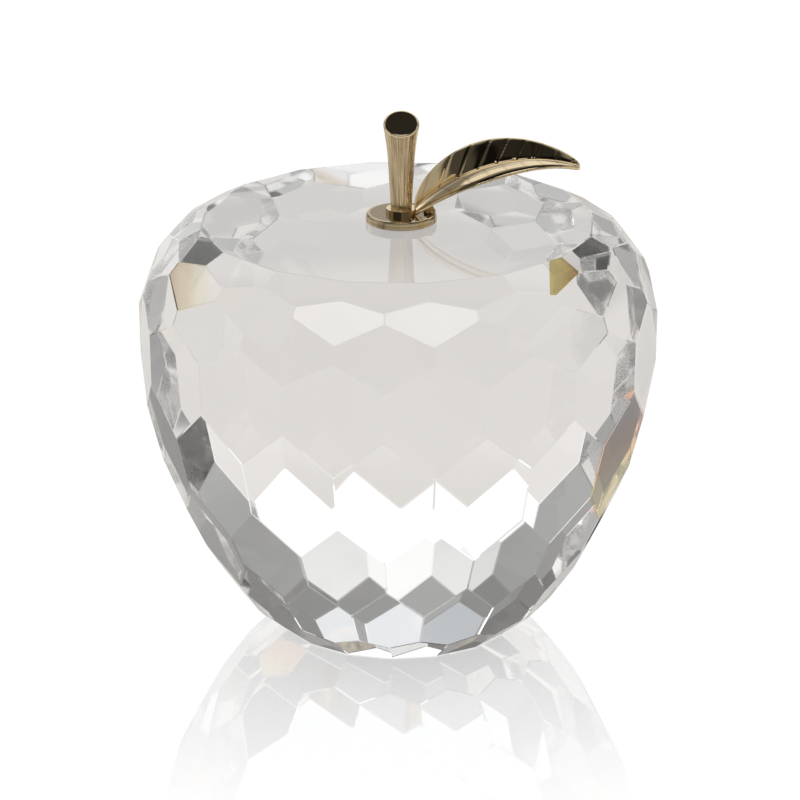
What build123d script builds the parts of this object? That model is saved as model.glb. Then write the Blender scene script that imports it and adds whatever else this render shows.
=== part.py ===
from build123d import *

import os
from math import cos, radians, sin, tan

# Cut crystal apple with a gold-plated stem and leaf
#
# The apple is one solid crystal, turned and then ground flat in staggered rows, so that the
# flats meet as hexagons.  Its top is a flat polished table.  A metal flange is glued to the
# table.  It carries the stem, whose tenon passes through the foot of the leaf and through the
# flange, so the three hold together.
#
# Millimetres, +Z up, origin at the centre of the flat base, leaf pointing along +X.

# Crystal: width over the corners, and the arcs of belly and shoulder, which the flats touch
body_diameter = 80.0
equator_height = 50.0
belly_radius = 72.5
shoulder_radius = 18.0

# Crystal: base on which the apple stands and table on its top, both measured over the flats
base_width = 35.4
table_width = 59.6
table_height = 65.0

# Crystal: rows of flats, from the base up to the table, each ground at its own angle to the
# axis; ground by hand, they come out a little uneven in depth
flats_per_row = 16
row_angles = (-52.0, -35.0, -25.7, -14.6, -1.2, 19.7, 39.2, 62.0)
flats_turn = -3.0
hand_unevenness = 0.05

# Flange and the glue under it, set by hand a little to the right of the apple's axis
top_shift = 0.55
flange_diameter = 10.9
flange_thickness = 1.2
flange_edge_radius = 0.35
glue_thickness = 0.15
glue_margin = 0.3

# Stem: a tapered rod that flares towards its slanting top
stem_foot_diameter = 3.2
stem_waist_diameter = 4.0
stem_waist_height = 7.0
stem_top_diameter = 6.6
stem_length = 13.5
stem_top_slant = 25.0
stem_edge_radius = 0.4
tenon_diameter = 2.0
tenon_clearance = 0.05

# Leaf: an arched blade, folded along its midrib, on a flat foot
leaf_thickness = 0.75
leaf_foot_diameter = 4.6
leaf_stalk_width = 1.8
leaf_bend_start = 2.6
leaf_foot_slope = 1.0
leaf_crest_reach = 20.6
leaf_crest_height = 8.15
leaf_reach = 27.6
leaf_tip_height = 6.75
leaf_tip_slope = -0.4
leaf_widest_reach = 13.5
leaf_half_width = 5.2
leaf_base_spread = 1.4
leaf_tip_taper = -0.8
leaf_tip_radius = 0.8
leaf_rear_rise = 25.0
leaf_front_rise = 4.0

# Solder that fixes the leaf to the flange
solder_reach = 4.3
solder_diameter = 2.3
solder_height = 1.2

# Levels of the stacked metal pieces
glue_top = table_height + glue_thickness
flange_top = glue_top + flange_thickness
foot_top = flange_top + leaf_thickness
stem_top = foot_top + stem_length

# The metal top has its own axis, beside the apple's
top_axis = Axis((top_shift, 0, 0), (0, 0, 1))
top_front = Plane(origin=(top_shift, 0, 0), x_dir=(1, 0, 0), z_dir=(0, -1, 0))
tenon_hole_radius = tenon_diameter / 2 + tenon_clearance

# Half the width over the flats, where the apple is widest
flats_radius = body_diameter / 2 * cos(radians(180 / flats_per_row))


def flat_distance(row):
    """Distance from the origin to the flats of a row.

    The lowest row meets the edge of the base and the highest the edge of the table.  Those
    between them touch the arc of the belly or the shoulder.
    """
    level = cos(radians(row_angles[row]))
    rise = sin(radians(row_angles[row]))
    if row == 0:
        return base_width / 2 * level
    if row == len(row_angles) - 1:
        return table_width / 2 * level + table_height * rise
    arc_radius = belly_radius if rise < 0 else shoulder_radius
    return (flats_radius - arc_radius) * level + equator_height * rise + arc_radius


def top_level(height):
    """Level plane through the axis of the metal top."""
    return Plane((top_shift, 0, height))


os.makedirs("parts", exist_ok=True)

# The crystal starts as a thick round blank, whose top face becomes the table
with BuildPart() as crystal_body:
    with BuildSketch():
        Circle(0.6 * body_diameter)
    extrude(amount=table_height)

    # Every flat is ground off by itself; every other row is turned by half a flat, which is
    # what makes the flats meet as hexagons
    flat_pitch = 360 / flats_per_row
    for row, angle in enumerate(row_angles):
        for flat in range(flats_per_row):
            turn = radians(-90 + flats_turn + flat_pitch * (flat + (row + 1) % 2 / 2))
            level = cos(radians(angle))
            facing = Vector(level * cos(turn), level * sin(turn), sin(radians(angle)))
            depth = hand_unevenness * (1 + sin(5 * flat + 3 * row)) / 2
            split(bisect_by=Plane(facing * (flat_distance(row) - depth), z_dir=facing), keep=Keep.BOTTOM)
crystal_body.part.label = "crystal_body"
export_step(crystal_body.part, "parts/crystal_body.step")

# A thin clear film of glue lies between the table and the flange
with BuildPart() as glue_film:
    with BuildSketch(top_level(table_height)):
        Circle(flange_diameter / 2 - glue_margin)
    extrude(amount=glue_thickness)
glue_film.part.label = "glue_film"
export_step(glue_film.part, "parts/glue_film.step")

# The flange is a disc with a rounded upper edge and a hole for the stem's tenon
with BuildPart() as stem_flange:
    with BuildSketch(top_level(glue_top)):
        Circle(flange_diameter / 2)
        Circle(tenon_hole_radius, mode=Mode.SUBTRACT)
    extrude(amount=flange_thickness)
    fillet(stem_flange.edges().group_by(Axis.Z)[-1].sort_by(SortBy.RADIUS)[-1], flange_edge_radius)
stem_flange.part.label = "stem_flange"
export_step(stem_flange.part, "parts/stem_flange.step")

# The leaf's arched band, in side view, and its outline, in plan
with BuildSketch(top_front) as arch_band:
    with BuildLine():
        underside = Spline(
            (leaf_bend_start, flange_top),
            (leaf_crest_reach, flange_top + leaf_crest_height),
            (leaf_reach, flange_top + leaf_tip_height),
            tangents=[(1, leaf_foot_slope), (1, leaf_tip_slope)],
        )
        stations = (0, 0.25, 0.5, 0.75, 1)
        upper_points = [underside @ t + leaf_thickness * (underside % t).rotate(Axis.Z, 90) for t in stations]
        upper_side = Spline(*upper_points, tangents=[underside % 0, underside % 1])
        Line(underside @ 0, upper_side @ 0)
        Line(underside @ 1, upper_side @ 1)
    make_face()
with BuildSketch(top_level(0)) as leaf_outline:
    with BuildLine():
        Spline(
            (leaf_bend_start, leaf_stalk_width / 2),
            (leaf_widest_reach, leaf_half_width),
            (leaf_reach, 0),
            tangents=[(1, leaf_base_spread), (1, leaf_tip_taper)],
        )
        mirror(about=Plane.XZ)
        Line((leaf_bend_start, leaf_stalk_width / 2), (leaf_bend_start, -leaf_stalk_width / 2))
    make_face()
    fillet(leaf_outline.vertices().sort_by(Axis.X)[-1], leaf_tip_radius)

# The band is pushed out to the rear and to the front at two slopes, which folds it along its
# midrib; the outline then trims it
fold_reach = 1.2 * leaf_half_width
with BuildPart() as leaf:
    for rise, side in ((leaf_rear_rise, 1), (leaf_front_rise, -1)):
        push = Vector(0, side * cos(radians(rise)), sin(radians(rise)))
        extrude(arch_band.sketch, amount=fold_reach, dir=push)
    extrude(leaf_outline.sketch, amount=2 * stem_top, mode=Mode.INTERSECT)

    # The flat foot goes under the stem, and its hole takes the tenon
    foot_end = leaf_bend_start + leaf_thickness
    with BuildSketch(top_level(flange_top)):
        Circle(leaf_foot_diameter / 2)
        with Locations((foot_end / 2, 0)):
            Rectangle(foot_end, leaf_stalk_width)
        Circle(tenon_hole_radius, mode=Mode.SUBTRACT)
    extrude(amount=leaf_thickness)
leaf.part.label = "leaf"
export_step(leaf.part, "parts/leaf.step")

# The stem is turned with a flare, cut at a slant at the top and reduced to a tenon below
slant = radians(stem_top_slant)
flare_top = stem_top + stem_top_diameter / 2 * tan(slant) + stem_edge_radius
with BuildPart() as stem:
    with BuildSketch(top_front):
        with BuildLine():
            Polyline(
                (0, flare_top),
                (0, glue_top),
                (tenon_diameter / 2, glue_top),
                (tenon_diameter / 2, foot_top),
                (stem_foot_diameter / 2, foot_top),
            )
            taper = Line(
                (stem_foot_diameter / 2, foot_top),
                (stem_waist_diameter / 2, foot_top + stem_waist_height),
            )
            flare = TangentArc(taper @ 1, (stem_top_diameter / 2, flare_top), tangent=taper % 1)
            Line(flare @ 1, (0, flare_top))
        make_face()
    revolve(axis=top_axis)
    split(bisect_by=Plane((top_shift, 0, stem_top), z_dir=(0, -sin(slant), cos(slant))), keep=Keep.BOTTOM)
    fillet(stem.faces().filter_by(GeomType.PLANE).sort_by(Axis.Z)[-1].edges(), stem_edge_radius)
stem.part.label = "stem"
export_step(stem.part, "parts/stem.step")

# A bead of solder fills the corner between the flange and the rising leaf
solder_radius = solder_diameter / 2
with BuildPart() as leaf_solder:
    with BuildSketch(top_front):
        with BuildLine():
            ThreePointArc(
                (solder_reach + solder_radius, flange_top),
                (solder_reach + solder_radius * cos(radians(45)), flange_top + solder_height * sin(radians(45))),
                (solder_reach, flange_top + solder_height),
            )
            Polyline(
                (solder_reach, flange_top + solder_height),
                (solder_reach, flange_top),
                (solder_reach + solder_radius, flange_top),
            )
        make_face()
    revolve(axis=Axis((top_shift + solder_reach, 0, 0), (0, 0, 1)))
    add(leaf.part, mode=Mode.SUBTRACT)
leaf_solder.part.label = "leaf_solder"
export_step(leaf_solder.part, "parts/leaf_solder.step")
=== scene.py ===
# %% [markdown]
# # A cut crystal apple with a gilt stem and leaf
# The packed model is loaded first and never moved: it gives every piece its place and size, in
# metres, with +Z up and the leaf pointing along +X.  What follows adds the looks: the cut crystal
# with its polish, the gilt metal, a veined leaf, and a small studio with a camera.

# %% Load the packed model
from math import cos, pi, radians, sin

import bmesh
import bpy
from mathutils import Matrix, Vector


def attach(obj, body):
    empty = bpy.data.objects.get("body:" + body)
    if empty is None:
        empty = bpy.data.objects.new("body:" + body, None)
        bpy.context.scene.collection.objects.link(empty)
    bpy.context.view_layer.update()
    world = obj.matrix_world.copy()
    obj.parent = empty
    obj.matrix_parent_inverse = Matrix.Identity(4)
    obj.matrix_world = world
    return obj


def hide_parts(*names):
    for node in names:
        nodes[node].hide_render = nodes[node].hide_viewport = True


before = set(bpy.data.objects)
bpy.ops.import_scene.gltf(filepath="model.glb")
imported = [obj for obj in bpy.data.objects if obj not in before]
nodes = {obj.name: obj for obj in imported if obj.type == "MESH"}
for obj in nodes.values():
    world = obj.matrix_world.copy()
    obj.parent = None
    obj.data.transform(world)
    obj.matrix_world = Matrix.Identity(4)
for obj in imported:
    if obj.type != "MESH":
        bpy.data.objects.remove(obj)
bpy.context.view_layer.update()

scene = bpy.context.scene
MM = 0.001
print("packed pieces:", sorted(nodes))

# %% [markdown]
# ## Node trees as formulas
# Materials and Geometry Nodes are easier to read as formulas than as lists of links.  `Wire` holds
# one socket of a tree.  Its operators add Math nodes, also with a number on the left, as in
# `1 - mask`.  `node` adds any other node: its settings come first, because they decide which
# sockets it has, and then the sockets' values or links.


# %% A wire with arithmetic
class Wire:
    def __init__(self, tree, socket=None):
        self.tree = tree
        self.socket = socket

    def node(self, kind, settings=None, inputs=None, output=0):
        made = self.tree.nodes.new(kind)
        for name, value in (settings or {}).items():
            setattr(made, name, value)
        for key, value in (inputs or {}).items():
            for single in value if isinstance(value, list) else [value]:
                self.feed(made.inputs[key], single)
        return Wire(self.tree, made.outputs[output]) if len(made.outputs) else made

    def feed(self, socket, value):
        if isinstance(value, Wire):
            self.tree.links.new(value.socket, socket)
        else:
            socket.default_value = value

    def output(self, name):
        return Wire(self.tree, self.socket.node.outputs[name])

    def apply(self, operation, *operands):
        settings = {"operation": operation}
        return self.node("ShaderNodeMath", settings, dict(enumerate((self, *operands))))

    def __add__(self, other):
        return self.apply("ADD", other)

    def __mul__(self, other):
        return self.apply("MULTIPLY", other)

    def __sub__(self, other):
        return self.apply("SUBTRACT", other)

    def __rsub__(self, other):
        return (self * -1).apply("ADD", other)

    def __truediv__(self, other):
        return self.apply("DIVIDE", other)

    def __rtruediv__(self, other):
        return self.apply("POWER", -1) * other

    def __pow__(self, other):
        return self.apply("POWER", other)

    __radd__ = __add__
    __rmul__ = __mul__


print("operators:", [name for name in vars(Wire) if name.startswith("__")])

# %% [markdown]
# ## Small helpers for finishes
# Most finishes use the same few steps: where on the piece a point lies, a blend of two colours, and
# a soft step from 0 to 1.  A step up and a step down make a band.

# %% Finish helpers
# The Mix node also has sockets for numbers and vectors; these are the ones for colours
MIX_FIRST = 6
MIX_SECOND = 7
MIX_RESULT = 2


def finish(name):
    material = bpy.data.materials.new(name)
    material.use_nodes = True
    wire = Wire(material.node_tree)
    place = wire.node("ShaderNodeTexCoord", output="Object")
    return material, material.node_tree.nodes["Principled BSDF"], wire, place


def colour_of(value):
    return value if isinstance(value, Wire) else (*value, 1)


def blend(share, first, second):
    colours = {0: share, MIX_FIRST: colour_of(first), MIX_SECOND: colour_of(second)}
    return share.node("ShaderNodeMix", {"data_type": "RGBA"}, colours, MIX_RESULT)


def ease(value, low, high):
    smooth = {"interpolation_type": "SMOOTHSTEP"}
    return value.node("ShaderNodeMapRange", smooth, {0: value, 1: low, 2: high})


def band(value, low, high, soft):
    return ease(value, low - soft, low + soft) * (1 - ease(value, high - soft, high + soft))


def parts_of(place):
    split = place.node("ShaderNodeSeparateXYZ", inputs={0: place})
    return split, split.output("Y"), split.output("Z")


# %% [markdown]
# ## The camera
# A long lens looks down on the apple by about twenty degrees.  How far each row of flats sags in the
# picture gives that angle, and how fast the rows shrink towards the back gives the distance.

# %% Camera
CAMERA_ELEVATION = radians(19.77)
CAMERA_DISTANCE = 887 * MM
CAMERA_AIM = Vector((0.36, -1.32, 36.3)) * MM
FRAME_PIXELS = 800
PIXELS_PER_METRE = 6468
SENSOR_WIDTH = 36

lens = bpy.data.cameras.new("photo_camera")
lens.sensor_width = SENSOR_WIDTH
lens.lens = lens.sensor_width * PIXELS_PER_METRE * CAMERA_DISTANCE / FRAME_PIXELS
camera = bpy.data.objects.new("photo_camera", lens)
scene.collection.objects.link(camera)
towards_camera = Vector((0, -cos(CAMERA_ELEVATION), sin(CAMERA_ELEVATION)))
camera.location = CAMERA_AIM + CAMERA_DISTANCE * towards_camera
camera.rotation_euler = towards_camera.to_track_quat("Z", "Y").to_euler()
scene.camera = camera
print("focal length", round(lens.lens, 1), "mm")

# %% [markdown]
# ## Growing a piece from a node tree
# A tree gets named inputs for its sizes.  `grow` puts it on an empty object, sets each input through
# the socket's identifier, and keeps the evaluated result as a plain mesh, so that no modifier is
# left on the piece.  `hand_over` hides the packed piece that it stands for and hangs the new piece
# on the root body.


# %% Tree helpers
def new_tree(name, sizes):
    tree = bpy.data.node_groups.new(name, "GeometryNodeTree")
    for size, value in sizes.items():
        kind = "NodeSocketInt" if isinstance(value, int) else "NodeSocketFloat"
        tree.interface.new_socket(size, in_out="INPUT", socket_type=kind)
    tree.interface.new_socket("Geometry", in_out="OUTPUT", socket_type="NodeSocketGeometry")
    entry = tree.nodes.new("NodeGroupInput")
    return Wire(tree), {size: Wire(tree, entry.outputs[size]) for size in sizes}


def end_tree(shape, material):
    realized = shape.node("GeometryNodeRealizeInstances", inputs={"Geometry": shape})
    coat = {"Geometry": realized, "Material": material}
    painted = shape.node("GeometryNodeSetMaterial", inputs=coat)
    shape.node("NodeGroupOutput", inputs={"Geometry": painted})


def grow(name, tree, sizes):
    piece = bpy.data.objects.new(name, bpy.data.meshes.new(name))
    scene.collection.objects.link(piece)
    modifier = piece.modifiers.new("shape", "NODES")
    modifier.node_group = tree
    for socket in tree.interface.items_tree:
        if socket.in_out == "INPUT":
            modifier[socket.identifier] = sizes[socket.name]
    return settle(piece)


def settle(piece):
    depsgraph = bpy.context.evaluated_depsgraph_get()
    grown = piece.evaluated_get(depsgraph)
    mesh = bpy.data.meshes.new_from_object(grown, depsgraph=depsgraph)
    piece.modifiers.clear()
    piece.data = mesh
    print(piece.name, "has", len(mesh.polygons), "faces")
    return piece


def hand_over(piece, node):
    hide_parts(node)
    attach(piece, "root")


# %% [markdown]
# ## The cut crystal
# The apple is turned from a solid block and then ground flat, row by row, on a wheel.  Every other
# row is turned by half a flat, and so the flats meet as hexagons.  A flat is known by its direction
# and its distance from the origin.

# %% Sizes of the crystal
FLATS_PER_ROW = 16
ROW_ANGLES = (-52.0, -35.0, -25.7, -14.6, -1.2, 19.7, 39.2, 62.0)
EQUATOR = 50 * MM
BELLY_RADIUS = 72.5 * MM
SHOULDER_RADIUS = 18 * MM
CORNER_RADIUS = 40 * MM
FLATS_RADIUS = CORNER_RADIUS * cos(pi / FLATS_PER_ROW)
BASE_RADIUS = 17.7 * MM
TABLE_RADIUS = 29.8 * MM
TABLE_HEIGHT = 65 * MM
FIRST_FLAT = radians(-93)
FLAT_PITCH = 2 * pi / FLATS_PER_ROW

crystal_sizes = {"Flats per row": FLATS_PER_ROW, "Turn": FIRST_FLAT, "Unevenness": 0.05 * MM}


def flat_distance(row):
    angle = radians(ROW_ANGLES[row])
    if row == 0:
        return BASE_RADIUS * cos(angle)
    if row == len(ROW_ANGLES) - 1:
        return TABLE_RADIUS * cos(angle) + TABLE_HEIGHT * sin(angle)
    arc = BELLY_RADIUS if angle < 0 else SHOULDER_RADIUS
    return (FLATS_RADIUS - arc) * cos(angle) + EQUATOR * sin(angle) + arc


def half_step(row):
    return (row + 1) % 2 / 2


distances = [round(flat_distance(row) / MM, 1) for row in range(len(ROW_ANGLES))]
print("distances of the rows from the origin:", distances)

# %% [markdown]
# ## Clear crystal
# Crystal is clear glass.  It has hardly any colour of its own: all that it shows is bent from what
# stands around it, so the studio further down matters more than this finish.  A cut edge also splits
# light like a prism, and three flats in the photograph glow from it.  Cycles does not split light,
# so these flats are tinted.  A point lies on a flat if its distance along the flat's direction is
# right; there the colour runs from one tint to the next along one axis.

# %% Tints of the crystal
CLEAR = (0.985, 0.983, 0.98)
AMBER = (0.95, 0.70, 0.25)
ORANGE = (1.0, 0.44, 0.16)
RUST = (0.85, 0.34, 0.20)
ASH = (0.55, 0.48, 0.45)
OLIVE = (0.36, 0.24, 0.03)
UMBER = (0.20, 0.08, 0.005)
TAN = (0.45, 0.29, 0.16)
SAND = (0.80, 0.61, 0.36)
CREAM = (0.95, 0.86, 0.62)

# Row and number of the flat, the axis along which its colour runs, and the stops in millimetres
PRISM_TINTS = [
    (3, 3, "Z", [(29, AMBER), (32, ORANGE), (36, RUST), (40, ASH)]),
    (7, 2, "X", [(22.6, CLEAR), (22.8, OLIVE), (27, UMBER)]),
    (6, 13, "X", [(-35, TAN), (-32, SAND), (-30, CREAM), (-27, CLEAR)]),
]
print("prism tints on", len(PRISM_TINTS), "flats")

# %% Crystal finish
CRYSTAL_POLISH = 0.03
CRYSTAL_IOR = 1.52

# How far under its plane, in millimetres, a point still counts as lying on a flat
FLAT_SKIN = (-0.12, -0.1)
DOT_PRODUCT = {"operation": "DOT_PRODUCT"}

crystal_finish, crystal_shader, wire, place = finish("clear_crystal")
tinted = CLEAR
for row, flat, axis, stops in PRISM_TINTS:
    tilt = radians(ROW_ANGLES[row])
    turn = FIRST_FLAT + FLAT_PITCH * (flat + half_step(row))
    facing = Vector((cos(tilt) * cos(turn), cos(tilt) * sin(turn), sin(tilt)))
    reach = wire.node("ShaderNodeVectorMath", DOT_PRODUCT, {0: place, 1: facing}, "Value")
    on_flat = ease((reach - flat_distance(row)) / MM, *FLAT_SKIN)
    along = wire.node("ShaderNodeSeparateXYZ", inputs={0: place}, output=axis) / MM
    glow = stops[0][1]
    for (low, _), (high, tint) in zip(stops, stops[1:]):
        glow = blend(ease(along, low, high), glow, tint)
    tinted = blend(on_flat, tinted, glow)
wire.feed(crystal_shader.inputs["Base Color"], tinted)
crystal_shader.inputs["Roughness"].default_value = CRYSTAL_POLISH
crystal_shader.inputs["IOR"].default_value = CRYSTAL_IOR
crystal_shader.inputs["Transmission Weight"].default_value = 1
print("crystal finish with", len(crystal_finish.node_tree.nodes), "nodes")

# %% [markdown]
# ## All the flats at once
# The apple is what is left inside all the planes.  Cutting plane by plane would work, but there is a
# shorter way.  Seen from a point in the heart of the apple, put a point at each plane's direction
# divided by its distance.  The convex hull of those points is the apple turned inside out: each face
# of the hull is a corner of the apple.  Dual Mesh swaps faces and corners, and gives all the
# hexagons at once.

# %% The flats, as points
HEART = 36 * MM
FLAT_WOBBLE = 5
ROW_WOBBLE = 3

crystal_tree, size = new_tree("ground_flats", crystal_sizes)
index = crystal_tree.node("GeometryNodeInputIndex")
plane_points = []
for row, degrees in enumerate(ROW_ANGLES):
    tilt = radians(degrees)
    turn = (index + half_step(row)) * (2 * pi / size["Flats per row"]) + size["Turn"]
    wobble = (index * FLAT_WOBBLE + ROW_WOBBLE * row).apply("SINE")
    depth = size["Unevenness"] * (wobble + 1) / 2
    reach = flat_distance(row) - HEART * sin(tilt) - depth
    facing = {
        0: turn.apply("COSINE") * cos(tilt) / reach,
        1: turn.apply("SINE") * cos(tilt) / reach,
        2: sin(tilt) / reach,
    }
    place = crystal_tree.node("ShaderNodeCombineXYZ", inputs=facing)
    ring = {"Count": size["Flats per row"], "Position": place}
    plane_points.append(crystal_tree.node("GeometryNodePoints", inputs=ring))
for reach in (TABLE_HEIGHT - HEART, -HEART):
    pole = {"Count": 1, "Position": (0, 0, 1 / reach)}
    plane_points.append(crystal_tree.node("GeometryNodePoints", inputs=pole))
print(len(ROW_ANGLES), "rows of", FLATS_PER_ROW, "flats, a table and a base")

# %% From the points to the crystal
all_points = crystal_tree.node("GeometryNodeJoinGeometry", inputs={0: plane_points})
hull = crystal_tree.node("GeometryNodeConvexHull", inputs={"Geometry": all_points})
normal = crystal_tree.node("GeometryNodeInputNormal")
middle = crystal_tree.node("GeometryNodeInputPosition")
dot = crystal_tree.node("ShaderNodeVectorMath", DOT_PRODUCT, {0: normal, 1: middle}, "Value")
stretch = {0: normal, "Scale": 1 / dot}
corner = crystal_tree.node("ShaderNodeVectorMath", {"operation": "SCALE"}, stretch)
vector = {"data_type": "FLOAT_VECTOR"}
note = {"Geometry": hull, "Name": "corner", "Value": corner}
marked = crystal_tree.node("GeometryNodeStoreNamedAttribute", {**vector, "domain": "FACE"}, note)
swapped = crystal_tree.node("GeometryNodeDualMesh", inputs={"Mesh": marked})
corner = crystal_tree.node("GeometryNodeInputNamedAttribute", vector, {"Name": "corner"})
move = {"Geometry": swapped, "Position": corner, "Offset": (0, 0, HEART)}
cut = crystal_tree.node("GeometryNodeSetPosition", inputs=move)
end_tree(cut, crystal_finish)
crystal = grow("cut_crystal", crystal_tree.tree, crystal_sizes)

# %% [markdown]
# ## Crisp and polished edges
# A crystal's flats are dead flat and meet in crisp edges, but polishing takes a hair off each edge.
# Without that tiny bevel the edges would catch no light.

# %% Edges of the crystal
POLISHED_EDGE = 0.14 * MM
SAME_CORNER = 0.01 * MM
SAME_FLAT = radians(0.05)

shape = bmesh.new()
shape.from_mesh(crystal.data)
bmesh.ops.remove_doubles(shape, verts=shape.verts, dist=SAME_CORNER)
bmesh.ops.dissolve_limit(shape, angle_limit=SAME_FLAT, verts=shape.verts, edges=shape.edges)
print("crystal:", len(shape.faces), "flats and", len(shape.edges), "edges")
bmesh.ops.bevel(
    shape,
    geom=shape.edges,
    offset=POLISHED_EDGE,
    offset_type="OFFSET",
    segments=1,
    profile=0.5,
    affect="EDGES",
)
bmesh.ops.recalc_face_normals(shape, faces=shape.faces)
shape.to_mesh(crystal.data)
shape.free()
print("crystal:", len(crystal.data.polygons), "faces with the polished edges")
hand_over(crystal, "crystal_body")

# %% [markdown]
# ## The gilt leaf
# The leaf is stamped from sheet metal, folded along its midrib and bent to an arch, with side veins
# pressed in.  It could be pulled into shape by hand, but a formula keeps the veins evenly spaced and
# the sizes in sight.  A flat grid becomes the leaf: one direction runs along the midrib, the other
# across the blade.  A second copy of the grid, turned over, is the underside, and both meet in a
# rounded rim.

# %% Sizes of the leaf
TOP_SHIFT = 0.55 * MM
FLANGE_TOP = 66.35 * MM
ARCH_REACH = (2.0, 9.0, 20.0, 27.3)
ARCH_HEIGHT = (0.5, 8.2, 10.3, 7.5)
VEIN_SLANT = 0.45
VEIN_PITCH = 2.9

leaf_sizes = {
    "Half width": 4.8,
    "Stalk half width": 0.9,
    "Tip half width": 0.4,
    "Thickness": 0.75,
    "Vein pitch": VEIN_PITCH,
    "Vein depth": 0.10,
    "Foot radius": 2.3,
    "Hole radius": 1.05,
}


def bezier(step, points):
    back = 1 - step
    first, second, third, last = points
    first_half = first * back**3 + 3 * second * step * back**2
    return first_half + 3 * third * back * step**2 + last * step**3


print("leaf from", ARCH_REACH[0], "to", ARCH_REACH[-1], "mm beside the stem's axis")

# %% The blade's arch and outline
WIDEST_SHIFT = 0.75
FULLNESS = 0.6
STALK_END = 8
TIP_END = 12

leaf_tree, size = new_tree("veined_leaf", leaf_sizes)
flat_grid = {"Size X": 1, "Size Y": 1, "Vertices X": 180, "Vertices Y": 101}
grid = leaf_tree.node("GeometryNodeMeshGrid", inputs=flat_grid)
grid_x, grid_y, _ = parts_of(leaf_tree.node("GeometryNodeInputPosition"))
along = (grid_x * pi).apply("SINE") * 0.5 + 0.5
across = (grid_y * pi).apply("SINE")
reach = bezier(along, ARCH_REACH)
height = bezier(along, ARCH_HEIGHT)
share = ((reach - ARCH_REACH[0]) / (ARCH_REACH[-1] - ARCH_REACH[0])).apply("MINIMUM", 1)
swell = (share**WIDEST_SHIFT * pi).apply("SINE").apply("MAXIMUM", 0) ** FULLNESS
half_width = size["Half width"] * swell + size["Stalk half width"] * (1 - share) ** STALK_END
half_width = half_width + size["Tip half width"] * share**TIP_END
out = (across * half_width).apply("ABSOLUTE")
print("grid of", flat_grid["Vertices X"], "by", flat_grid["Vertices Y"], "points")

# %% The fold, the veins and the rim
REAR_RISE = 0.5
REAR_RISE_AT_STALK = 0.38
FRONT_RISE = 0.12
FRONT_DROOP = 0.06
VEIN_SHARPNESS = 6
MIDRIB_SHARPNESS = 9
OUTLINE_FADE = 6
FRONT_PRESS = 0.15
RIM_ACROSS = 10
RIM_ALONG = 40

# The rear half stands up from the fold, the front half is level there and droops towards its rim
rear = across.apply("GREATER_THAN", 0)
rear_slope = REAR_RISE + REAR_RISE_AT_STALK * (1 - along) ** 2
front_slope = FRONT_RISE - out * FRONT_DROOP
height = height + out * (rear * rear_slope + (1 - rear) * front_slope)

# Pillows between the veins and a groove along the midrib, fainter on the front half
vein = ((reach - out * VEIN_SLANT) / size["Vein pitch"]).apply("FRACT") * 2 - 1
groove = (out * out * -MIDRIB_SHARPNESS).apply("EXPONENT")
press = vein.apply("ABSOLUTE") ** VEIN_SHARPNESS + groove
press = press * (1 - across.apply("ABSOLUTE") ** OUTLINE_FADE)
press = press * (1 - share**TIP_END) * (1 - (1 - share) ** TIP_END)
press = press * (FRONT_PRESS + (1 - FRONT_PRESS) * rear)

# Half the thickness, which runs out to nothing at the rim
rim = 1 - across.apply("ABSOLUTE") ** RIM_ACROSS
rim = rim * (1 - (along * 2 - 1).apply("ABSOLUTE") ** RIM_ALONG)
rim = rim.apply("MAXIMUM", 0).apply("SQRT") * size["Thickness"] / 2
print("blade formula with", len(leaf_tree.tree.nodes), "nodes")

# %% Both sides of the blade
SAME_RIM = 0.0005 * MM


def blade_side(level):
    place = {0: reach * MM + TOP_SHIFT, 1: across * half_width * MM, 2: level * MM + FLANGE_TOP}
    position = leaf_tree.node("ShaderNodeCombineXYZ", inputs=place)
    move = {"Geometry": grid, "Position": position}
    return leaf_tree.node("GeometryNodeSetPosition", inputs=move)


middle = height - size["Thickness"] / 2
upper = blade_side(middle + rim - press * size["Vein depth"])
lower = leaf_tree.node("GeometryNodeFlipFaces", inputs={"Mesh": blade_side(middle - rim)})
sides = leaf_tree.node("GeometryNodeJoinGeometry", inputs={0: [upper, lower]})
sewn = {"Geometry": sides, "Distance": SAME_RIM}
blade = leaf_tree.node("GeometryNodeMergeByDistance", inputs=sewn)

# %% The foot under the stem
ROUND_SIDES = 96


def disc(radius, low, high):
    sizes = {"Vertices": ROUND_SIDES, "Radius": radius * MM, "Depth": (high - low) * MM}
    cylinder = leaf_tree.node("GeometryNodeMeshCylinder", inputs=sizes)
    place = {0: TOP_SHIFT, 2: FLANGE_TOP + (low + high) / 2 * MM}
    lift = leaf_tree.node("ShaderNodeCombineXYZ", inputs=place)
    move = {"Geometry": cylinder, "Offset": lift}
    return leaf_tree.node("GeometryNodeSetPosition", inputs=move)


def join_solids(operation, solids):
    settings = {"operation": operation, "solver": "MANIFOLD"}
    return leaf_tree.node("GeometryNodeMeshBoolean", settings, solids)


foot = disc(size["Foot radius"], 0 * size["Thickness"], size["Thickness"])
hole = disc(size["Hole radius"], -1 * size["Thickness"], 2 * size["Thickness"])
whole = join_solids("UNION", {"Mesh 2": [blade, foot]})
bored = join_solids("DIFFERENCE", {"Mesh 1": whole, "Mesh 2": [hole]})
print("foot of", leaf_sizes["Foot radius"], "mm radius with a hole for the stem's tenon")

# %% [markdown]
# ## Gilt metal
# Gold plating on polished brass: a warm mirror.  What makes it look like metal that was worked by
# hand is small: brush lines along the stem and turning lines on the flange.  The leaf's veins and
# the flange inside its rim are darker too, and that darkening is painted shade.  Noise that is
# stretched along the stroke gives such lines on a piece of any size, so one recipe serves all the
# metal: the lines and the painted shade set the colour, the gloss and a slight relief.


# %% Worked metal
def noise(place, scale, detail=3):
    inputs = {"Vector": place, "Scale": scale, "Detail": detail}
    return place.node("ShaderNodeTexNoise", inputs=inputs)


def bump(height, distance):
    return height.node("ShaderNodeBump", inputs={"Distance": distance, "Height": height})


# The share runs from the dark tone to the bright one; it carries the lines and, on the flange and
# the leaf, painted shade
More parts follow.
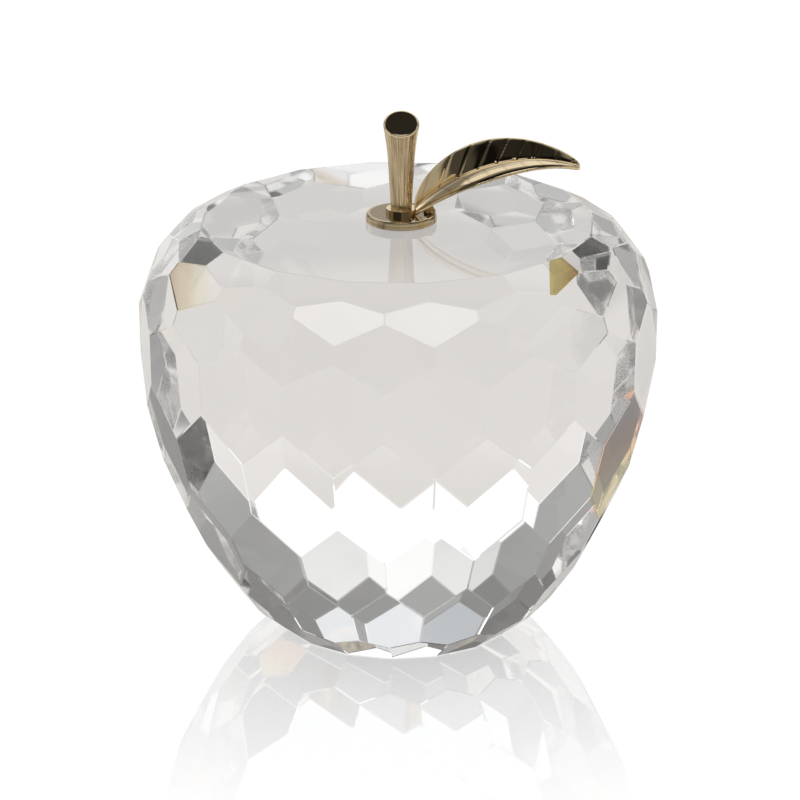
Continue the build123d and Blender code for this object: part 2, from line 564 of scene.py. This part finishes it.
def worked(shader, tone_share, dark_tone, bright, smooth, rough, relief):
    tone_share.feed(shader.inputs["Base Color"], blend(tone_share, dark_tone, bright))
    tone_share.feed(shader.inputs["Roughness"], rough + tone_share * (smooth - rough))
    tone_share.feed(shader.inputs["Normal"], bump(tone_share, relief))
    shader.inputs["Metallic"].default_value = 1


def paint(node, material):
    nodes[node].data.materials.clear()
    nodes[node].data.materials.append(material)
    print(node, "is painted with", material.name)


# %% Brushed stem with a polished top
GILT = (0.88, 0.72, 0.46)
GILT_SMOOTH = 0.03
STEM_DULL = (0.33, 0.21, 0.09)
STEM_TOP = 80.6 * MM
STEM_SLANT = radians(25)
STROKES_AROUND = 20
STROKES_ALONG = 0.12
STROKE_EDGES = (0.4, 0.7)

# The polished top starts this far under the slanting plane, in millimetres
TOP_FACE = (-0.5, -0.1)

stem_gilt, shader, wire, place = finish("brushed_gilt")
x, y, z = parts_of(place)
around = y.apply("ARCTAN2", x - TOP_SHIFT)
spread = {0: around * STROKES_AROUND, 1: z / MM * STROKES_ALONG}
strokes = noise(wire.node("ShaderNodeCombineXYZ", inputs=spread), 1)
above_slant = (z - STEM_TOP) * cos(STEM_SLANT) - y * sin(STEM_SLANT)
side = 1 - ease(above_slant / MM, *TOP_FACE)
bright_share = 1 - ease(strokes, *STROKE_EDGES) * side
worked(shader, bright_share, STEM_DULL, GILT, smooth=GILT_SMOOTH, rough=0.2, relief=0.025 * MM)
paint("stem", stem_gilt)

# %% Turned flange, with painted shade inside its rim
# Dark end of the turning lines, and the painted shade inside the rim
GILT_BROWN = (0.19, 0.13, 0.055)
RINGS_PER_MM = 4
SHADE_SHARE = 0.85

# The bright rim starts this far from the axis, in millimetres
RIM_START = (4.6, 5.0)

flange_gilt, shader, wire, place = finish("turned_gilt")
x, y, z = parts_of(place)
from_axis = ((x - TOP_SHIFT) ** 2 + y**2).apply("SQRT")
spread = {0: from_axis / MM * RINGS_PER_MM, 1: z / MM * RINGS_PER_MM}
rings = noise(wire.node("ShaderNodeCombineXYZ", inputs=spread), 1)
# Inside the bright rim the flange is darkened as painted shade and made less glossy
shade_inside_rim = (1 - ease(from_axis / MM, *RIM_START)) * SHADE_SHARE
bright_share = rings * (1 - shade_inside_rim)
worked(shader, bright_share, GILT_BROWN, GILT, smooth=GILT_SMOOTH, rough=0.1, relief=0.002 * MM)
paint("stem_flange", flange_gilt)

# %% Leaf, with painted shade in its veins
GILT_VEIN_SHADE_AND_GRAIN = (0.56, 0.40, 0.20)
VEIN_LINE = 8
VEIN_SHADE = 0.7
GRAIN_SCALE = 500
GRAIN_SHARE = 0.4

leaf_gilt, shader, wire, place = finish("veined_gilt")
x, y, _ = parts_of(place)
vein_turn = ((x - TOP_SHIFT) - y.apply("ABSOLUTE") * VEIN_SLANT) / MM / VEIN_PITCH
vein = vein_turn.apply("FRACT") * 2 - 1
# The pressed veins are darkened as painted shade in their grooves; the grain's tone differs at
# random
free_of_vein_shade = 1 - vein.apply("ABSOLUTE") ** VEIN_LINE * VEIN_SHADE
bright_share = free_of_vein_shade * (1 - GRAIN_SHARE + GRAIN_SHARE * noise(place, GRAIN_SCALE))
worked(shader, bright_share, GILT_VEIN_SHADE_AND_GRAIN, GILT, smooth=GILT_SMOOTH, rough=0.14, relief=0.004 * MM)
end_tree(bored, leaf_gilt)
leaf = grow("veined_leaf", leaf_tree.tree, leaf_sizes)
hand_over(leaf, "leaf")

# %% [markdown]
# ## Smooth shading
# Curved metal is shaded smoothly, but a crease stays a crease: sharper edges than a limit are marked
# sharp.  Where the blade was joined to its foot, slivers without any area are left, and they are
# dissolved first.

# %% Smooth faces and sharp creases
SLIVER = 0.002 * MM
LEAF_CREASE = radians(40)


def shade(piece, crease, sliver=0):
    shape = bmesh.new()
    shape.from_mesh(piece.data)
    if sliver:
        bmesh.ops.dissolve_degenerate(shape, dist=sliver, edges=shape.edges)
    for face in shape.faces:
        face.smooth = True
    for edge in shape.edges:
        edge.smooth = not edge.is_manifold or edge.calc_face_angle() < crease
    open_edges = sum(not edge.is_manifold for edge in shape.edges)
    shape.to_mesh(piece.data)
    shape.free()
    print(piece.name, "shaded,", open_edges, "open edges")


shade(leaf, LEAF_CREASE, SLIVER)

# %% [markdown]
# ## Solder
# Where the leaf rises from the flange, a bead of solder has run into small lumps.  Many small balls
# would do, but they leave gaps.  One ball that is pushed in between the cells of a Voronoi pattern
# gives such lumps and stays closed, and its lower half is flattened on the flange.

# %% The lumpy bead
SOLDER = (0.62, 0.45, 0.22)
SOLDER_DULL = (0.30, 0.19, 0.08)
SOLDER_GRAIN = 2500
SOLDER_CREASE = radians(60)

solder_gilt, shader, wire, place = finish("gilt_solder")
grain = noise(place, SOLDER_GRAIN)
worked(shader, grain, SOLDER_DULL, SOLDER, smooth=0.15, rough=0.45, relief=0.02 * MM)

solder_sizes = {"Radius": 1.12, "Height": 1.2, "Lump depth": 0.45, "Reach": 4.3}
solder_tree, size = new_tree("solder_bead", solder_sizes)
ball_sizes = {"Radius": 1, "Subdivisions": 6}
ball = solder_tree.node("GeometryNodeMeshIcoSphere", inputs=ball_sizes)
at = solder_tree.node("GeometryNodeInputPosition")
pattern = {"Vector": at, "Scale": 1.3, "Smoothness": 0.3}
cells = solder_tree.node("ShaderNodeTexVoronoi", {"feature": "SMOOTH_F1"}, pattern, "Distance")
push = 1 - size["Lump depth"] * cells
x, y, z = parts_of(at)
place = {
    0: x * push * size["Radius"] * MM + size["Reach"] * MM + TOP_SHIFT,
    1: y * push * size["Radius"] * MM,
    2: (z * push).apply("MAXIMUM", 0) * size["Height"] * MM + FLANGE_TOP,
}
position = solder_tree.node("ShaderNodeCombineXYZ", inputs=place)
move = {"Geometry": ball, "Position": position}
bead = solder_tree.node("GeometryNodeSetPosition", inputs=move)
end_tree(bead, solder_gilt)
solder = grow("solder_lumps", solder_tree.tree, solder_sizes)
shade(solder, SOLDER_CREASE)
hand_over(solder, "leaf_solder")

# %% [markdown]
# ## Glue
# The film of glue under the flange is clear but never quite even: tiny bubbles make it a little
# rough here and there.  They are too small to model, so a noise in the roughness stands for them.

# %% Glue finish
GLUE = (0.98, 0.98, 0.96)
GLUE_CLOUDED = (0.93, 0.91, 0.85)
GLUE_IOR = 1.5
GLUE_ROUGH = 0.08
BUBBLE_ROUGH = 0.25
BUBBLE_SCALE = 1800

glue, shader, wire, place = finish("clear_glue")
bubbles = noise(place, BUBBLE_SCALE)
wire.feed(shader.inputs["Roughness"], GLUE_ROUGH + bubbles * BUBBLE_ROUGH)
wire.feed(shader.inputs["Base Color"], blend(bubbles, GLUE_CLOUDED, GLUE))
shader.inputs["Transmission Weight"].default_value = 1
shader.inputs["IOR"].default_value = GLUE_IOR
paint("glue_film", glue)

# %% [markdown]
# ## The table
# The apple stands on a glossy white table.  Seen directly it is white, with a soft shadow and a
# mirror image that fades towards the viewer.  Seen through the crystal it glows with painted light:
# the pale grey that fills most of the flats, a little darker under the apple and paler far away,
# with a painted shadow of the apple as a darker ring and painted shade on the viewer's side and in
# dim patches at its sides.  A film of air stays under the polished base, or the base would not
# mirror.

# %% Floor
FLOOR_REACH = 4
AIR_FILM = 0.05 * MM

floor_mesh = bpy.data.meshes.new("floor")
signs = [(-1, -1), (1, -1), (1, 1), (-1, 1)]
corners = [(x * FLOOR_REACH, y * FLOOR_REACH, -AIR_FILM) for x, y in signs]
floor_mesh.from_pydata(corners, [], [(0, 1, 2, 3)])
floor = bpy.data.objects.new("floor", floor_mesh)
scene.collection.objects.link(floor)
print("floor of", 2 * FLOOR_REACH, "m,", AIR_FILM / MM, "mm under the base")

# %% Floor, seen directly
WHITE = (1, 1, 1, 1)
MATT_GREY = (0.2, 0.2, 0.2, 1)
FLOOR_GLOW = 0.95
MIRROR_END = 83
MIRROR_FADE = 65
MIRROR_SHARE = 0.45

floor_finish = bpy.data.materials.new("white_table")
floor_finish.use_nodes = True
wire = Wire(floor_finish.node_tree)
wire.tree.nodes.clear()
place = wire.node("ShaderNodeTexCoord", output="Object")
x, y, _ = parts_of(place)
from_middle = (x**2 + y**2).apply("SQRT") / MM

glow = wire.node("ShaderNodeEmission", inputs={"Color": WHITE, "Strength": FLOOR_GLOW})
matt = wire.node("ShaderNodeBsdfDiffuse", inputs={"Color": MATT_GREY})
white = wire.node("ShaderNodeAddShader", inputs={0: glow, 1: matt})
mirror = wire.node("ShaderNodeBsdfGlossy", inputs={"Color": WHITE, "Roughness": 0})
shine = ((MIRROR_END - from_middle) / MIRROR_FADE).apply("MAXIMUM", 0).apply("MINIMUM", 1)
shine = shine * MIRROR_SHARE
glossy_white = wire.node("ShaderNodeMixShader", inputs={0: shine, 1: white, 2: mirror})
print("mirror image ends", MIRROR_END, "mm from the middle")

# %% Floor, seen through the crystal
DEGREES = 180 / pi
UNDER_APPLE = (0.725, 0.70, 0.675)
NEARBY = (0.76, 0.737, 0.71)
FAR_AWAY = (0.85, 0.825, 0.80)
SHADOW_RING = (0.62, 0.60, 0.58)
VIEWER_SIDE_SHADE = (0.55, 0.535, 0.52)
SHADE_PATCH = (0.08, 0.08, 0.078)
LEFT_SHARE = 0.5

# Distances from the middle are in millimetres, and turns from straight behind in degrees
turn = x.apply("ARCTAN2", y) * DEGREES
shade_near_viewer = ease(turn.apply("ABSOLUTE"), 95, 105) * (1 - ease(from_middle, 68, 80))
shade_patch_right = band(turn, 40, 49, 2) * (1 - ease(from_middle, 84, 94))
shade_patch_left = band(turn, -127, -95, 4) * (1 - ease(from_middle, 60, 68)) * LEFT_SHARE
# Seen through the crystal the floor glows with painted light: a pale tone, a little darker under the
# apple and paler far away, with a painted shadow ring, painted shade on the viewer's side and
# painted shade in dim patches
pale = blend(ease(from_middle, 20, 50), UNDER_APPLE, NEARBY)
floor_tones = [
    (ease(from_middle, 280, 900), FAR_AWAY),
    (band(from_middle, 29, 47, 6), SHADOW_RING),
    (shade_near_viewer, VIEWER_SIDE_SHADE),
    (shade_patch_right + shade_patch_left, SHADE_PATCH),
]
for mask, tone in floor_tones:
    pale = blend(mask, pale, tone)

seen = wire.node("ShaderNodeLightPath", output="Is Camera Ray")
through = wire.node("ShaderNodeEmission", inputs={"Color": pale, "Strength": 1})
either = wire.node("ShaderNodeMixShader", inputs={0: seen, 1: through, 2: glossy_white})
wire.node("ShaderNodeOutputMaterial", inputs={"Surface": either})
floor_mesh.materials.append(floor_finish)
print("floor finish with", len(floor_tones), "tones beside the plain one")

# %% [markdown]
# ## The studio
# What the flats show is the room.  Read back through the crystal, the photograph tells what stood
# there: a low white backdrop behind the apple, a narrow strip and a cool light above it, two panels
# at the sides, two lights on the viewer's side, and a dim room all round that is paler along the
# horizon.  Lamps could stand for the lights, but not for the tones between them, so each is a patch
# of the sky, by its height and bearing in degrees.  A bearing of 0 is straight behind the apple, and
# it grows to the right.

# %% Bearings and heights
BACKDROP_BOW = 0.008
LIGHT_BOW = 0.011

world = bpy.data.worlds.new("studio")
scene.world = world
world.use_nodes = True
sky = Wire(world.node_tree)
sky.tree.nodes.clear()
direction = sky.node("ShaderNodeTexCoord", output="Generated")
x, y, z = parts_of(direction)
up = z.apply("ARCSINE") * DEGREES
bearing = x.apply("ARCTAN2", y) * DEGREES
aside = bearing.apply("ABSOLUTE")
at_right = bearing.apply("GREATER_THAN", 0)
bow = up + aside * aside * BACKDROP_BOW


def patch(bearings, heights, soft_side, soft_end):
    return band(bearing, *bearings, soft_side) * band(up, *heights, soft_end)


print("sky by bearing and height, with", len(sky.tree.nodes), "nodes so far")

# %% Walls of the dim room
# Tones run from 0 for black to 1 for white; fades and gains are tones too, and a shade is the
# share that is lost
REAR_TONE = 0.41
REAR_FADE = 0.17
REAR_SLOT_FADE = 0.1
LOW_SIDE_TONE = 0.02
LOW_SIDE_GAIN = 0.23
SIDE_TONE = 0.44
SIDE_TOP_SHADE = 0.85
LEFT_TONE = 0.05
LEFT_TOP_GAIN = 0.08
LEFT_WINDOW_GAIN = 0.35
RIGHT_TONE = 0.27
RIGHT_TOP_FADE = 0.06

rear_slot = band(bearing, 3, 12, 1.5)
rear_wall = REAR_TONE - REAR_FADE * ease(bow, 20, 26) - REAR_SLOT_FADE * rear_slot
low_wall = LOW_SIDE_TONE + LOW_SIDE_GAIN * ease(aside, 66, 85)
side_wall = low_wall + (SIDE_TONE - low_wall) * ease(up, 15, 20)
side_wall = side_wall * (1 - SIDE_TOP_SHADE * ease(up, 44, 52))
left_window = band(up, 21, 34, 2) * ease(aside, 125, 130)
left_front = LEFT_TONE + LEFT_TOP_GAIN * ease(up, 33, 38) + LEFT_WINDOW_GAIN * left_window
right_front = RIGHT_TONE - RIGHT_TOP_FADE * ease(up, 18, 23)
front_wall = left_front + (right_front - left_front) * at_right
print("walls behind, at the sides and on the viewer's side")

# %% The room as a whole
CEILING_SHADE = 0.9
LEFT_GLEAM = 0.12
HORIZON = 0.6
RIGHT_HORIZON_SHADE = 0.5

behind = 1 - ease(aside, 42, 53)
in_front = ease(aside, 108, 122)
beside = (1 - in_front) * side_wall + in_front * front_wall
room = behind * rear_wall + (1 - behind) * beside

# Dark overhead, with a gleam low on the left and a paler horizon at the sides
room = room * (1 - CEILING_SHADE * ease(up, 60, 66))
room = room + LEFT_GLEAM * patch((-60, -46), (0, 8), 3, 2)
horizon = band(up, 5.5, 14, 1.5) * ease(aside, 66, 80) * (1 - RIGHT_HORIZON_SHADE * at_right)
room = room + HORIZON * horizon
print("room with", len(sky.tree.nodes), "nodes")

# %% The lights
COOL = (0.97, 0.99, 1.02)
COOL_DIM = (0.60, 0.63, 0.66)
STRIP = (0.85, 0.85, 0.85)
BACKDROP = (1.1, 1.1, 1.1)
HIGH_LIGHT = (1.3, 1.3, 1.3)
FRONT_LIGHT = (3.0, 3.0, 2.95)
FRONT_STEP = 2.6
FRONT_MIDDLE = 8
ROOM_BLUE = 0.98

backdrop = 1 - ease(bow, 8.4, 18.6)
rear_light = ease(up - aside * aside * LIGHT_BOW, 22, 27)
rear_light = rear_light * (1 - ease(up, 50, 56)) * (1 - ease(aside, 38, 50))
near_light = ease(bearing, -12, 2).apply("MAXIMUM", ease(up, 36, 38))
strip = patch((-4.5, 2.5), (13, 21), 1, 1.5)
panels = patch((-63, -45), (12, 26), 1.5, 2) + patch((60, 76), (44, 57), 3, 3)
high_light = band(up, 70, 84, 2) * ease(aside, 120, 130)
front_light = band(up - at_right * FRONT_STEP, 54.6, 57, 0.4)
front_light = front_light * ease((bearing - FRONT_MIDDLE).apply("ABSOLUTE"), 132, 142)

colour = sky.node("ShaderNodeCombineColor", inputs={0: room, 1: room, 2: room * ROOM_BLUE})
lights = [
    (rear_light, blend(near_light, COOL_DIM, COOL)),
    (strip, STRIP),
    (backdrop.apply("MAXIMUM", panels), BACKDROP),
    (high_light, HIGH_LIGHT),
    (front_light, FRONT_LIGHT),
]
for mask, tone in lights:
    colour = blend(mask, colour, tone)
print("sky with", len(lights), "kinds of light")

# %% World and light paths
BOUNCES = 24

# Seen directly, or in the table's mirror, the background is plain white
path = sky.node("ShaderNodeLightPath")
plain_white = path.output("Is Camera Ray").apply("MAXIMUM", path.output("Is Singular Ray"))
light = sky.node("ShaderNodeBackground", inputs={"Color": blend(plain_white, colour, (1, 1, 1))})
sky.node("ShaderNodeOutputWorld", inputs={"Surface": light})

# Light crosses the crystal many times before it leaves
scene.cycles.max_bounces = BOUNCES
scene.cycles.glossy_bounces = BOUNCES
scene.cycles.transmission_bounces = BOUNCES
scene.view_settings.view_transform = "Standard"
print("light may bounce", BOUNCES, "times")

# %% [markdown]
